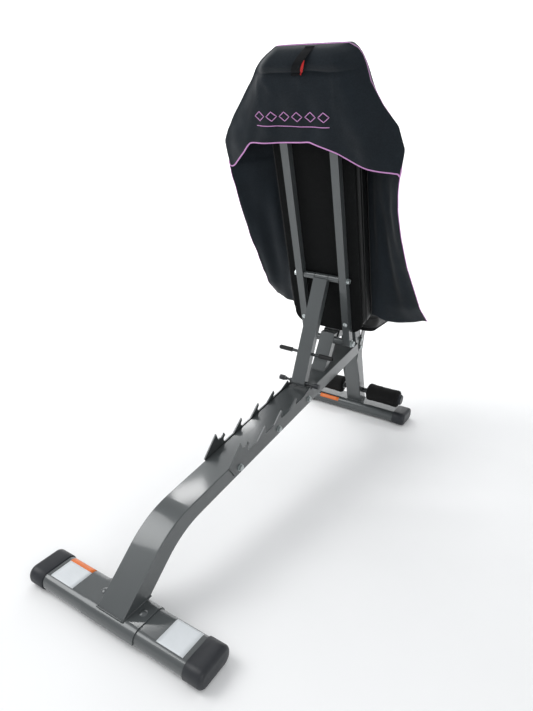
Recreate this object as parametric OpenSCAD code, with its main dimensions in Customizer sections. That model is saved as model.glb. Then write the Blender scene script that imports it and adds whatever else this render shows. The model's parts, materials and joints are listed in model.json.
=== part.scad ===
// Adjustable weight bench with a slip-over cloth cover on its backrest.
// Millimetres. +Z is up, +Y points from the rear foot to the front foot, +X is to the right of someone
// standing behind the bench. The floor is z = 0 and the origin is midway between the two feet.

/* [Feet] */
// Half the rear foot's length over its end caps
rear_foot_half = 266; // [250:280]
// Half the front foot's length over its end caps
front_foot_half = 227; // [215:240]
// Distance from the middle of the bench to each foot's centre line
foot_reach = 680; // [670:690]
// Depth of a foot end cap, front to back
cap_depth = 106; // [100:110]
// Height of a foot end cap
cap_height = 50; // [48:54]
// Length of each end cap along the foot
cap_length = 50; // [35:60]

/* [Main beam] */
// Width of the main beam
beam_width = 78; // [70:84]
// Slope of the beam's straight part
beam_slope = 7.9; // [7.5:8.3]
// Slope of the beam's swept rear end
sweep_slope = 42.5; // [41:44]
// Depth of the beam's straight part, measured square to it
beam_depth = 49; // [47:51]

/* [Backrest] */
// Lean of the backrest from upright at rest
back_lean = 21; // [21:21]
// Width of the backrest and seat pads
pad_width = 280; // [270:284]
// Thickness of the back pad
back_pad_thick = 58; // [50:58]
// Side of the square backrest rails
rail_side = 24; // [22:24]

/* [Rack and strut] */
// Height above the beam of the rack's two rear tooth tips
tooth_height = 31; // [28:31]
// Height above the beam of the next tooth tip forward
fourth_tooth = 25; // [22:25]
// Height above the beam of the foremost tooth tip, kept low so that the bar passes over it
first_tooth = 15.8; // [14:15.8]
// Distance from one rack tooth to the next
tooth_pitch = 92; // [91:93]
// Width of the strut that props the backrest
strut_width = 48; // [44:50]

/* [Ankle rollers] */
// Outside diameter of a foam roller
foam_diameter = 70; // [60:74]
// Length of a foam roller
foam_length = 132; // [110:132]

/* [Cover] */
// Half the cover's width at its widest
cover_half = 300; // [290:300]
// Thickness of the cloth with its lining
cloth_thick = 4; // [3:4]

/* [Hidden] */
$fn = 64;
over = 1;
wall = 2.5;

tube_depth = cap_depth - 6;
tube_height = cap_height - 6;
tube_z = cap_height / 2;
foot_corner = tube_height / 2 - 2;
saddle_half = 80;
saddle_top = cap_height;

beam_half = beam_width / 2;
beam_top_y = -72;
beam_top_z = 266.7;
sweep_top_y = -720.4;
sweep_low_y = -631;
sweep_foot_z = 48.4;
sweep_top_radius = 238;
sweep_low_radius = 220;
arc_steps = 16;

leg_half = 30;
leg_deep = 48;
leg_lean = 23.3;
leg_rear_y = 586;
leg_rear_z = 200;
leg_top = 416;
seat_under = 441;
board_thick = 12;
seat_thick = 48;

pivot_y = 326;
pivot_z = 413;
hinge_reach = 252;
bar_y = 129;
bar_z = 315.3;
hinge_y = pivot_y - hinge_reach * sin(back_lean);
hinge_z = pivot_z + hinge_reach * cos(back_lean);
strut_long = norm([hinge_y - bar_y, hinge_z - bar_z]);
strut_lean = atan2(hinge_y - bar_y, hinge_z - bar_z);
strut_deep = 25;
handle_up = 98;
handle_r = 5;
bar_r = 6.5;
bar_neck_r = 4;
grip_r = 7.5;
grip_long = 49;

rail_half = rail_side / 2;
rail_mid = 76.5;
rail_long = 780;
post_half = 26;
post_deep = 30;
post_lean = 25;
pivot_pin = 6;
hinge_pin = 5;
running_gap = 0.06;

rack_y = 125;
rack_z = beam_top_z + tan(beam_slope) * (rack_y - beam_top_y) - 23.5 / cos(beam_slope);
rack_thick = 4;
rack_lift = 23.5;
rack_bolt_at = [-404, -197, -5];

rod_y = 664;
rod_z = 99;
rod_radius = 10;
foam_from = 55;
core_radius = 14;

back_pad_low = 48;
back_pad_high = 880;
hem_side = 600;
hem_mid = 683;

steel = [0.36, 0.38, 0.38];
zinc = [0.72, 0.74, 0.74];
plastic = [0.2, 0.21, 0.23];
black = [0.07, 0.07, 0.07];
cloth = [0.12, 0.13, 0.15];
red = [0.7, 0.15, 0.15];

// Drawn in the Y and Z plane, then extruded from x0 to x0 + w
module side_slab(x0, w) {
    translate([x0, 0, 0]) rotate([90, 0, 90]) linear_extrude(w) children();
}

module along_x(x0, w, r) {
    translate([x0, 0, 0]) rotate([0, 90, 0]) cylinder(h = w, r = r);
}

module on_back() {
    translate([0, pivot_y, pivot_z]) rotate([back_lean, 0, 0]) children();
}

module on_strut() {
    translate([0, hinge_y, hinge_z]) rotate([-strut_lean, 0, 0]) children();
}

module rounded_rect(w, h, r) {
    square([w - 2 * r, h], center = true);
    square([w, h - 2 * r], center = true);
    for (sx = [-1, 1])
        for (sy = [-1, 1])
            translate([sx * (w / 2 - r), sy * (h / 2 - r)]) circle(r);
}

module hex_head(x0, w, r) {
    translate([x0 > 0 ? x0 : x0 - w, 0, 0]) rotate([0, 90, 0]) cylinder(h = w, r = r, $fn = 6);
}

/* Feet */
module foot_tube(half, y) {
    inside = half - 8;
    difference() {
        side_slab(-inside, 2 * inside)
            translate([y, tube_z]) rounded_rect(tube_depth, tube_height, foot_corner);
        side_slab(-inside - over, 2 * inside + 2 * over) translate([y, tube_z])
            rounded_rect(tube_depth - 2 * wall, tube_height - 2 * wall, foot_corner - wall);
    }
}

module foot_cap(half, y, side) {
    start = half - cap_length;
    body = cap_length - 6;
    x0 = side > 0 ? start : -start - body;
    difference() {
        union() {
            side_slab(x0, body) translate([y, tube_z]) rounded_rect(cap_depth, cap_height, foot_corner + 3);
            hull() {
                side_slab(side * (half - 6) - 0.5, 1) translate([y, tube_z])
                    rounded_rect(cap_depth, cap_height, foot_corner + 3, $fn = 32);
                side_slab(side * (half - 0.5) - 0.5, 1) translate([y, tube_z])
                    rounded_rect(cap_depth - 10, cap_height - 10, foot_corner - 2, $fn = 32);
            }
        }
        side_slab(side > 0 ? start - over : -half + 8, cap_length - 8 + over)
            translate([y, tube_z]) rounded_rect(tube_depth, tube_height, foot_corner);
    }
}

module rear_foot_tube() {
    color(steel) difference() {
        foot_tube(rear_foot_half, -foot_reach);
        bolt_holes();
    }
}

module rear_foot_cap_left() {
    color(plastic) foot_cap(rear_foot_half, -foot_reach, -1);
}

module rear_foot_cap_right() {
    color(plastic) foot_cap(rear_foot_half, -foot_reach, 1);
}

module bolt_holes() {
    for (sx = [-1, 1])
        translate([sx * 59, -foot_reach + 5, 30]) cylinder(h = 40, r = 4);
}

// Bent plate that wraps the top of the rear foot under the beam
module rear_saddle() {
    color(steel) difference() {
        side_slab(-saddle_half, 2 * saddle_half) translate([-foot_reach, tube_z])
            rounded_rect(cap_depth, cap_height, foot_corner + 3);
        side_slab(-saddle_half - over, 2 * saddle_half + 2 * over) translate([-foot_reach, tube_z])
            rounded_rect(tube_depth, tube_height, foot_corner);
        translate([-saddle_half - over, -foot_reach - cap_depth, -over])
            cube([2 * saddle_half + 2 * over, 2 * cap_depth, 20]);
        bolt_holes();
    }
}

module saddle_bolts() {
    color(steel) for (sx = [-1, 1])
        translate([sx * 59, -foot_reach + 5, 0]) {
            translate([0, 0, 38]) cylinder(h = saddle_top - 38, r = 4);
            intersection() {
                translate([0, 0, saddle_top - 10.5]) sphere(r = 14.5);
                translate([-15, -15, saddle_top]) cube([30, 30, 5]);
            }
        }
}

/* Main beam */
function top_z(y) = beam_top_z + tan(beam_slope) * (y - beam_top_y);
function leg_rear(z) = leg_rear_y - tan(leg_lean) * (z - leg_rear_z);

// Points of one edge of the beam in the Y and Z plane: swept line, arc and straight line
function sweep_edge(foot_y, foot_z, line_z, radius) =
    let (rise = tan(sweep_slope))
    let (fall = tan(beam_slope))
    let (meet_y = (line_z - fall * beam_top_y - foot_z + rise * foot_y) / (rise - fall))
    let (meet_z = foot_z + rise * (meet_y - foot_y))
    let (touch = radius * tan((sweep_slope - beam_slope) / 2))
    let (t1 = [meet_y - touch * cos(sweep_slope), meet_z - touch * sin(sweep_slope)])
    let (c = [t1[0] + radius * sin(sweep_slope), t1[1] - radius * cos(sweep_slope)])
    let (step = (sweep_slope - beam_slope) / arc_steps)
    concat(
        [[foot_y - 100, foot_z - 100 * rise]],
        [for (n = [0:arc_steps]) c + radius * [-sin(sweep_slope - n * step), cos(sweep_slope - n * step)]],
        [[700, line_z + fall * (700 - beam_top_y)]]
    );

function backwards(points) = [for (n = [len(points) - 1:-1:0]) points[n]];

module beam_body(x0, w, inset) {
    sweep_shift = inset / cos(sweep_slope);
    line_shift = inset / cos(beam_slope);
    deep = beam_depth / cos(beam_slope);
    upper = sweep_edge(sweep_top_y, sweep_foot_z - sweep_shift, beam_top_z - line_shift,
        sweep_top_radius - inset);
    lower = sweep_edge(sweep_low_y, sweep_foot_z + sweep_shift, beam_top_z - deep + line_shift,
        sweep_low_radius + inset);
    difference() {
        side_slab(x0, w) polygon(concat(upper, backwards(lower)));
        side_slab(x0 - over, w + 2 * over)
            polygon([[-900, -500], [800, -500], [800, saddle_top], [-900, saddle_top]]);
        side_slab(x0 - over, w + 2 * over)
            polygon([[leg_rear(-500), -500], [leg_rear(500), 500], [900, 500], [900, -500]]);
    }
}

module main_beam() {
    color(steel) difference() {
        beam_body(-beam_half, beam_width, 0);
        beam_body(-beam_half + wall, beam_width - 2 * wall, wall);
        rack_bolt_row(-beam_half - over, beam_width + 2 * over, 4);
    }
}

// Inside, +Y runs up the beam's slope and z = 0 is the beam's top face
module on_rack() {
    translate([0, rack_y, rack_z]) rotate([beam_slope, 0, 0]) translate([0, 0, rack_lift]) children();
}

module rack_bolt_row(x0, w, r) {
    for (u = rack_bolt_at)
        on_rack() translate([0, u, -rack_lift]) along_x(x0, w, r);
}

module tooth(x0, tip, high, notch) {
    difference() {
        side_slab(x0, rack_thick) polygon([[tip - 45, 2], [tip, high], [tip + 5, 2], [tip, -4]]);
        translate([0, tip + 5, high - 18.5]) along_x(x0 - over, rack_thick + 2 * over, notch);
    }
}

module rack_plate(x0) {
    rear = -451;
    front = 30;
    color(steel) difference() {
        on_rack() difference() {
            union() {
                side_slab(x0, rack_thick) polygon([[rear, 3], [rear + 22, -38], [front, -38], [front, 3]]);
                side_slab(x0, rack_thick) polygon([
                    [rear, 3], [-394, 51], [-386, 27], [-362, 27], [-358, 32.5], [-352.5, 21], [-351, -4]
                ]);
                for (n = [0:1]) tooth(x0, -270.5 + n * tooth_pitch, tooth_height, 9.5);
                tooth(x0, -270.5 + 2 * tooth_pitch, fourth_tooth, 9);
                tooth(x0, -270.5 + 3 * tooth_pitch, first_tooth, 7);
            }
            translate([0, -371, 31]) along_x(x0 - over, rack_thick + 2 * over, 6.5);
            translate([0, -353, 13]) along_x(x0 - over, rack_thick + 2 * over, 9.5);
        }
        rack_bolt_row(-60, 120, 4);
    }
}

module rack_plate_left() {
    rack_plate(-beam_half - rack_thick);
}

module rack_plate_right() {
    rack_plate(beam_half);
}

module rack_bolts() {
    face = beam_half + rack_thick;
    color(zinc) {
        rack_bolt_row(-face, 2 * face, 4);
        rack_bolt_row(face, 1.5, 10.5);
        rack_bolt_row(-face - 1.5, 1.5, 10.5);
        for (u = rack_bolt_at)
            on_rack() translate([0, u, -rack_lift])
                for (sx = [-1, 1]) hex_head(sx * (face + 1.5), 5.5, 9);
    }
}

/* Front leg and foot */
module leg_side(inset, low, high) {
    run = leg_deep / cos(leg_lean);
    side_in = inset / cos(leg_lean);
    polygon([
        [leg_rear(low) + side_in, low], [leg_rear(high) + side_in, high],
        [leg_rear(high) + run - side_in, high], [leg_rear(low) + run - side_in, low]
    ]);
}

module front_leg() {
    color(steel) difference() {
        side_slab(-leg_half, 2 * leg_half) leg_side(0, cap_height - 3, leg_top);
        side_slab(-leg_half + wall, 2 * leg_half - 2 * wall) leg_side(wall, 0, leg_top + 20);
        bracket_bolt_row(-50, 100, 4);
        translate([0, rod_y, rod_z]) along_x(-50, 100, rod_radius);
    }
}

module front_foot_tube() {
    color(steel) foot_tube(front_foot_half, foot_reach);
}

module front_foot_cap_left() {
    color(plastic) foot_cap(front_foot_half, foot_reach, -1);
}

module front_foot_cap_right() {
    color(plastic) foot_cap(front_foot_half, foot_reach, 1);
}

/* Pivot post and sleeve */
module pivot_post() {
    half = post_deep / 2 / cos(post_lean);
    high = pivot_z + 24;
    low = 250;
    inner = half - wall / cos(post_lean);
    color(steel) difference() {
        side_slab(-post_half, 2 * post_half) post_side(half, low, high);
        side_slab(-post_half + wall, 2 * post_half - 2 * wall) post_side(inner, low, high - wall);
        side_slab(-60, 120) polygon([[0, 0], [0, top_z(0)], [600, top_z(600)], [600, 0]]);
        translate([0, pivot_y, pivot_z]) along_x(-60, 120, 12);
    }
}

module post_side(half, low, high) {
    lean = tan(post_lean);
    polygon([
        [pivot_y - half + (low - pivot_z) * lean, low], [pivot_y - half + (high - pivot_z) * lean, high],
        [pivot_y + half + (high - pivot_z) * lean, high], [pivot_y + half + (low - pivot_z) * lean, low]
    ]);
}

module pivot_sleeve() {
    sleeve_half = 62;
    color(steel) translate([0, pivot_y, pivot_z]) difference() {
        along_x(-sleeve_half, 2 * sleeve_half, 12);
        along_x(-sleeve_half - over, 2 * sleeve_half + 2 * over, pivot_pin + running_gap);
    }
}

/* Seat */
module bracket_bolt_row(x0, w, r) {
    translate([0, 562, 353]) along_x(x0, w, r);
    translate([0, 561, 320]) along_x(x0, w, r);
    translate([0, 596, 429]) along_x(x0, w, r);
}

module seat_bracket(x0) {
    color(steel) difference() {
        side_slab(x0, 4) polygon([
            [545, 271], [554, 320], [566, 372], [577, seat_under - 1], [618, seat_under - 1], [597, 372],
            [590, 300], [600, 255], [637, 170], [604, 162]
        ]);
        bracket_bolt_row(-60, 120, 4);
    }
}

module seat_bracket_left() {
    seat_bracket(-leg_half - 4);
}

module seat_bracket_right() {
    seat_bracket(leg_half);
}

module seat_bracket_bolts() {
    face = leg_half + 4;
    color(zinc) {
        bracket_bolt_row(-face, 2 * face, 4);
        for (at = [[562, 353], [561, 320], [596, 429]])
            translate([0, at[0], at[1]])
                for (sx = [-1, 1]) hex_head(sx * face, 5, 8);
    }
}

module seat_frame() {
    rear_low = pivot_y + post_deep / 2 / cos(post_lean) + (leg_top - pivot_z) * tan(post_lean);
    rear_high = rear_low + (seat_under - leg_top) * tan(post_lean);
    color(steel) difference() {
        side_slab(-leg_half, 2 * leg_half)
            polygon([[rear_low, leg_top], [rear_high, seat_under], [710, seat_under], [710, leg_top]]);
        translate([-leg_half + wall, 300, leg_top + wall])
            cube([2 * leg_half - 2 * wall, 500, seat_under - leg_top - 2 * wall]);
        bracket_bolt_row(-50, 100, 4);
        seat_screw_row(400, 50, 3);
    }
}

module seat_frame_plug() {
    color(plastic) {
        translate([-leg_half, 710, leg_top]) cube([2 * leg_half, 3, seat_under - leg_top]);
        translate([-leg_half + wall, 695, leg_top + wall])
            cube([2 * leg_half - 2 * wall, 15, seat_under - leg_top - 2 * wall]);
    }
}

module seat_screw_row(z0, h, r) {
    for (y = [450, 660])
        for (sx = [-1, 1]) translate([sx * 18, y, z0]) cylinder(h = h, r = r);
}

module seat_board() {
    color(black) difference() {
        translate([0, 562, seat_under]) linear_extrude(board_thick) rounded_rect(pad_width - 24, 306, 30);
        seat_screw_row(seat_under - over, 9, 3);
    }
}

module seat_pad() {
    color(black) translate([0, 562, seat_under + board_thick]) linear_extrude(seat_thick)
        rounded_rect(pad_width, 328, 40);
}

module seat_screws() {
    color(zinc) {
        seat_screw_row(leg_top, seat_under + 8 - leg_top, 3);
        seat_screw_row(leg_top - 4, 4, 6.5);
    }
}

/* Ankle rollers */
module roller_rod() {
    long = foam_from + foam_length + 6;
    color(steel) translate([0, rod_y, rod_z]) along_x(-long, 2 * long, rod_radius);
}

module rod_collars() {
    color(steel) for (x0 = [foam_from - 5.5, -foam_from + 0.5])
        translate([0, rod_y, rod_z]) difference() {
            along_x(x0, 5, 17);
            along_x(x0 - over, 5 + 2 * over, rod_radius);
        }
}

module rod_end_caps() {
    start = foam_from + foam_length + 0.5;
    color(plastic) for (sx = [-1, 1])
        translate([0, rod_y, rod_z]) difference() {
            union() {
                along_x(sx > 0 ? start : -start - 6, 6, 22);
                along_x(sx > 0 ? start + 6 : -start - 10, 4, 19);
            }
            along_x(sx > 0 ? start - over : -start - 5.5, 5.5 + over, rod_radius);
        }
}

module roller_core(x0) {
    color(plastic) translate([0, rod_y, rod_z]) difference() {
        along_x(x0, foam_length, core_radius);
        along_x(x0 - over, foam_length + 2 * over, rod_radius + running_gap);
    }
}

module foam_roller(x0) {
    color(black) translate([0, rod_y, rod_z]) difference() {
        along_x(x0, foam_length, foam_diameter / 2);
        along_x(x0 - over, foam_length + 2 * over, core_radius);
    }
}

module roller_core_left() {
    roller_core(-foam_from - foam_length);
}

module roller_core_right() {
    roller_core(foam_from);
}

module foam_roller_left() {
    foam_roller(-foam_from - foam_length);
}

module foam_roller_right() {
    foam_roller(foam_from);
}

/* Backrest */
module back_rail(mid) {
    color(steel) on_back() difference() {
        side_slab(mid - rail_half, rail_side) {
            circle(rail_half);
            translate([-rail_half, 0]) square([rail_side, rail_long]);
        }
        translate([mid - rail_half + 2, -rail_half + 2, 16])
            cube([rail_side - 4, rail_side - 4, rail_long]);
        along_x(-120, 240, pivot_pin);
        translate([0, 0, hinge_reach]) along_x(-120, 240, hinge_pin);
        rail_screw_row(-20, 50, 3);
    }
}

module back_rail_left() {
    back_rail(-rail_mid);
}

module back_rail_right() {
    back_rail(rail_mid);
}

module rail_screw_row(y0, h, r) {
    for (sx = [-1, 1])
        for (z = [86, 700]) translate([sx * rail_mid, y0, z]) rotate([-90, 0, 0]) cylinder(h = h, r = r);
}

module rail_end_plugs() {
    color(plastic) on_back() for (sx = [-1, 1]) {
        translate([sx * rail_mid - rail_half, -rail_half, rail_long]) cube([rail_side, rail_side, 3]);
        translate([sx * rail_mid - rail_half + 2, -rail_half + 2, rail_long - 14])
            cube([rail_side - 4, rail_side - 4, 14]);
    }
}

module back_top_brace() {
    half = rail_mid - rail_half;
    color(steel) on_back() difference() {
        translate([-half, -rail_half, 735]) cube([2 * half, rail_side, rail_side]);
        translate([-half - over, -rail_half + 2, 737])
            cube([2 * half + 2 * over, rail_side - 4, rail_side - 4]);
    }
}

module back_board() {
    low = 40;
    high = 868;
    color(black) on_back() difference() {
        translate([0, rail_half + board_thick, (low + high) / 2]) rotate([90, 0, 0])
            linear_extrude(board_thick) rounded_rect(pad_width - 30, high - low, 45);
        rail_screw_row(0, 20, 3);
    }
}

module back_pad() {
    long = back_pad_high - back_pad_low;
    color(black) on_back()
        translate([0, rail_half + board_thick + back_pad_thick, (back_pad_low + back_pad_high) / 2])
            rotate([90, 0, 0]) linear_extrude(back_pad_thick) rounded_rect(pad_width, long, 58);
}

module back_screws() {
    color(zinc) on_back() {
        rail_screw_row(-rail_half, rail_side + 8, 3);
        rail_screw_row(-rail_half - 1.5, 1.5, 8.5);
        for (sx = [-1, 1])
            for (z = [86, 700])
                intersection() {
                    translate([sx * rail_mid, -rail_half - 1.5 + 4, z]) sphere(r = 8);
                    translate([sx * rail_mid - 8, -rail_half - 6, z - 8]) cube([16, 4.5, 16]);
                }
    }
}

module pivot_axle() {
    face = rail_mid + rail_half + 9;
    color(zinc) on_back() along_x(-face, 2 * face, pivot_pin);
}

module pivot_nuts() {
    face = rail_mid + rail_half;
    color(zinc) on_back() difference() {
        for (sx = [-1, 1]) {
            along_x(sx > 0 ? face : -face - 1.5, 1.5, 12.5);
            hex_head(sx * (face + 1.5), 8.5, 10.5);
        }
        along_x(-120, 240, pivot_pin);
    }
}

module hinge_axle() {
    face = rail_mid + rail_half + 8;
    color(zinc) on_back() translate([0, 0, hinge_reach]) along_x(-face, 2 * face, hinge_pin);
}

module hinge_nuts() {
    face = rail_mid + rail_half;
    color(zinc) on_back() translate([0, 0, hinge_reach]) difference() {
        for (sx = [-1, 1]) {
            along_x(sx > 0 ? face : -face - 1.5, 1.5, 11);
            hex_head(sx * (face + 1.5), 7.5, 9);
        }
        along_x(-120, 240, hinge_pin);
    }
}

/* Slip-over cover */
module bag_layer(off, thin, in, widen) {
    t = in;
    w = 262 + widen - t;
    translate([0, off + thin, 0]) rotate([90, 0, 0]) linear_extrude(thin)
        polygon([
            [-w + 6, hem_side - 40 * t / cloth_thick], [w - 6, hem_side - 40 * t / cloth_thick],
            [w, hem_side + 60], [w - 28, 740], [w - 84, 820], [168 - t, 880], [132, 902 - t],
            [-132, 902 - t], [-168 + t, 880], [-w + 84, 820], [-w + 28, 740], [-w, hem_side + 60]
        ]);
}

// Bag over the top of the backrest, open at its lower hem
module cover_bag() {
    difference() {
        hull() {
            bag_layer(88, 1, 0, -70);
            bag_layer(10, 1, 0, 10);
            bag_layer(-27, 1, 0, -6);
        }
        hull() {
            bag_layer(84, 1, cloth_thick, -70);
            bag_layer(10, 1, cloth_thick, 10);
            bag_layer(-22, 1, cloth_thick, -6);
        }
        rotate([90, 0, 0]) linear_extrude(60)
            polygon([
                [-270, 500], [-262, hem_side + 4], [-190, 640], [-150, 664], [-90, hem_mid], [70, hem_mid],
                [140, 655], [190, 632], [262, hem_side + 4], [270, 500]
            ]);
    }
}

module edge_bar(x, off, z, tall) {
    translate([x - cloth_thick / 2, off, z]) cube([cloth_thick, cloth_thick, tall]);
}

// Cape that falls down the front of the pad and stands out past its sides
module cover_cape(side) {
    fold = 152;
    edge = cover_half - cloth_thick / 2;
    hull() {
        edge_bar(side * fold, 85, 300, 340);
        edge_bar(side * 266, 10, 585, 50);
        edge_bar(side * 268, 47, 304, 20);
    }
    hull() {
        edge_bar(side * fold, 85, 70, 234);
        edge_bar(side * 268, 47, 304, 4);
        edge_bar(side * edge, 150, 38, 8);
    }
}

module cover() {
    color(cloth) on_back() {
        cover_bag();
        translate([-154, 85, 70]) cube([308, cloth_thick, 545]);
        cover_cape(-1);
        cover_cape(1);
    }
}

module cover_loop() {
    color(red) on_back() difference() {
        translate([14, -32, 852]) cube([22, 5, 50]);
        translate([13, -30.5, 856]) cube([24, 2, 42]);
    }
}

/* Strut */
module strut_tube() {
    half = strut_width / 2;
    deep = strut_deep / 2;
    color(steel) on_strut() difference() {
        side_slab(-half, strut_width) {
            translate([0, -strut_long]) circle(deep);
            translate([-deep, -strut_long]) square([strut_deep, strut_long - 7]);
        }
        translate([-half + 2, -deep + 2, -strut_long + 14])
            cube([strut_width - 4, strut_deep - 4, strut_long]);
        along_x(-60, 120, 11);
        translate([0, 0, -strut_long]) along_x(-60, 120, bar_r);
        translate([0, 0, -strut_long + handle_up]) along_x(-60, 120, handle_r);
    }
}

module strut_sleeve() {
    sleeve_half = 62;
    color(steel) on_strut() difference() {
        along_x(-sleeve_half, 2 * sleeve_half, 11);
        along_x(-sleeve_half - over, 2 * sleeve_half + 2 * over, hinge_pin + running_gap);
    }
}

// Bar that rests in the rack, necked down where it crosses the two rack plates
module crossbar() {
    neck_from = 34;
    neck_to = 48;
    bar_half = 68;
    color(steel) on_strut() translate([0, 0, -strut_long]) {
        along_x(-neck_from, 2 * neck_from, bar_r);
        along_x(-neck_to, 2 * neck_to, bar_neck_r);
        along_x(neck_to, bar_half - neck_to, bar_r);
        along_x(-bar_half, bar_half - neck_to, bar_r);
    }
}

module crossbar_caps() {
    color(plastic) on_strut() translate([0, 0, -strut_long]) for (sx = [-1, 1])
        difference() {
            along_x(sx > 0 ? 56 : -72, 16, bar_r + 2);
            along_x(sx > 0 ? 55 : -68, 13, bar_r);
        }
}

module handle_rod() {
    color(steel) on_strut() translate([0, 0, -strut_long + handle_up]) along_x(-92, 184, handle_r);
}

module handle_grip(x0, bore_x0) {
    color(black) on_strut() translate([0, 0, -strut_long + handle_up]) difference() {
        union() {
            along_x(x0, grip_long, grip_r);
            along_x(x0 < 0 ? x0 + grip_long - 3 : x0, 3, grip_r + 1.5);
        }
        along_x(bore_x0, grip_long - 4, handle_r);
    }
}

module handle_grip_left() {
    handle_grip(-97, -92);
}

module handle_grip_right() {
    handle_grip(97 - grip_long, 96 - grip_long);
}

rear_foot_tube();
rear_foot_cap_left();
rear_foot_cap_right();
rear_saddle();
saddle_bolts();
main_beam();
rack_plate_left();
rack_plate_right();
rack_bolts();
front_leg();
front_foot_tube();
front_foot_cap_left();
front_foot_cap_right();
pivot_post();
pivot_sleeve();
seat_bracket_left();
seat_bracket_right();
seat_bracket_bolts();
seat_frame();
seat_frame_plug();
seat_board();
seat_pad();
seat_screws();
roller_rod();
rod_collars();
rod_end_caps();
back_rail_left();
back_rail_right();
rail_end_plugs();
back_top_brace();
back_board();
back_pad();
back_screws();
pivot_axle();
pivot_nuts();
hinge_axle();
hinge_nuts();
cover();
cover_loop();
strut_tube();
strut_sleeve();
crossbar();
crossbar_caps();
handle_rod();
handle_grip_left();
handle_grip_right();
roller_core_left();
roller_core_right();
foam_roller_left();
foam_roller_right();
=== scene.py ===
import json
import math
import random

import bmesh
import bpy
import numpy as np
from mathutils import Matrix, Vector, noise

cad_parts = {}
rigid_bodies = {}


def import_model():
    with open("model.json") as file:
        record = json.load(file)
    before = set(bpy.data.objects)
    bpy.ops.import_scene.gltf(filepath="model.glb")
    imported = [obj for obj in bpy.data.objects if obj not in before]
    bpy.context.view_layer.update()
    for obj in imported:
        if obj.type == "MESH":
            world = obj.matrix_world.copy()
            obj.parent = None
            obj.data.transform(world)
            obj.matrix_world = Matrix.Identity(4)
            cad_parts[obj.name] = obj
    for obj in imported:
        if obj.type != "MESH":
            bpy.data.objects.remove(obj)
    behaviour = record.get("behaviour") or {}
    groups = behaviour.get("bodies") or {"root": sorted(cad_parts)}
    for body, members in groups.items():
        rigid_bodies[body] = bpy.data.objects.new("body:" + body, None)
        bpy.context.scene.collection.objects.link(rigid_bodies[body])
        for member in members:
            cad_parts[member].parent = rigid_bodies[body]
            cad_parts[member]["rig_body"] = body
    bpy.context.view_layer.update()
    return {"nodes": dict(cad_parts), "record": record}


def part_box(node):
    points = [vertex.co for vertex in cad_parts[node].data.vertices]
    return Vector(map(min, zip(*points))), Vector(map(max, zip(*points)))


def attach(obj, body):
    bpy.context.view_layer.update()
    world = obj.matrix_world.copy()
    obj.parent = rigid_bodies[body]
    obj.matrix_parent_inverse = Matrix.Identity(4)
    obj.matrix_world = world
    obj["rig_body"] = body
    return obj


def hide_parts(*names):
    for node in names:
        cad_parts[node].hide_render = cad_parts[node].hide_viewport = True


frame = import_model()
NODES = frame["nodes"]
random.seed(7)

# ---------------------------------------------------------------- frames of reference
JOINTS = {j["name"]: j for j in frame["record"]["behaviour"]["joints"]}
PIVOT = Vector(JOINTS["back_recline"]["pos_m"])
HINGE = Vector(JOINTS["strut_swing"]["pos_m"])
LEAN = math.atan2(PIVOT.y - HINGE.y, HINGE.z - PIVOT.z)
ACROSS = Vector((1, 0, 0))
OFF = Vector((0, math.cos(LEAN), math.sin(LEAN)))
ALONG = Vector((0, -math.sin(LEAN), math.cos(LEAN)))


def on_back(x, off, along):
    """A point given in millimetres: across, in front of the rails, and up the backrest."""
    return PIVOT + (ACROSS * x + OFF * off + ALONG * along) / 1000


# ---------------------------------------------------------------- materials
def new_material(name):
    m = bpy.data.materials.new(name)
    m.use_nodes = True
    nt = m.node_tree
    nt.nodes.clear()
    out = nt.nodes.new("ShaderNodeOutputMaterial")
    p = nt.nodes.new("ShaderNodeBsdfPrincipled")
    nt.links.new(p.outputs[0], out.inputs[0])
    co = nt.nodes.new("ShaderNodeTexCoord")
    return m, nt, p, co.outputs["Object"]


def noise_tex(nt, co, scale, detail=4, rough=0.55, stretch=None):
    if stretch:
        mp = nt.nodes.new("ShaderNodeMapping")
        mp.inputs["Scale"].default_value = stretch
        nt.links.new(co, mp.inputs[0])
        co = mp.outputs[0]
    n = nt.nodes.new("ShaderNodeTexNoise")
    n.inputs["Scale"].default_value = scale
    n.inputs["Detail"].default_value = detail
    n.inputs["Roughness"].default_value = rough
    nt.links.new(co, n.inputs["Vector"])
    return n.outputs["Fac"]


def tint(c, k):
    return tuple(min(1, v * k) for v in c)


def drift(nt, fac, base, low, high, start=0.3, end=0.7):
    """The base colour times low where fac is small, running to the base colour times high."""
    r = nt.nodes.new("ShaderNodeValToRGB")
    for stop, position, k in zip(r.color_ramp.elements, (start, end), (low, high)):
        stop.position = position
        stop.color = (*tint(base, k), 1)
    nt.links.new(fac, r.inputs[0])
    return r.outputs[0]


def spread(nt, fac, low, high):
    """A value that runs from low to high over the middle of fac's range."""
    m = nt.nodes.new("ShaderNodeMapRange")
    m.inputs["From Min"].default_value = 0.25
    m.inputs["From Max"].default_value = 0.75
    m.inputs["To Min"].default_value = low
    m.inputs["To Max"].default_value = high
    nt.links.new(fac, m.inputs["Value"])
    return m.outputs[0]


def bump(nt, p, heights):
    """Bump nodes in a chain, each from (height, strength, distance in metres)."""
    last = None
    for h, strength, distance in heights:
        b = nt.nodes.new("ShaderNodeBump")
        b.inputs["Strength"].default_value = strength
        b.inputs["Distance"].default_value = distance
        nt.links.new(h, b.inputs["Height"])
        if last:
            nt.links.new(last, b.inputs["Normal"])
        last = b.outputs[0]
    nt.links.new(last, p.inputs["Normal"])


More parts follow.
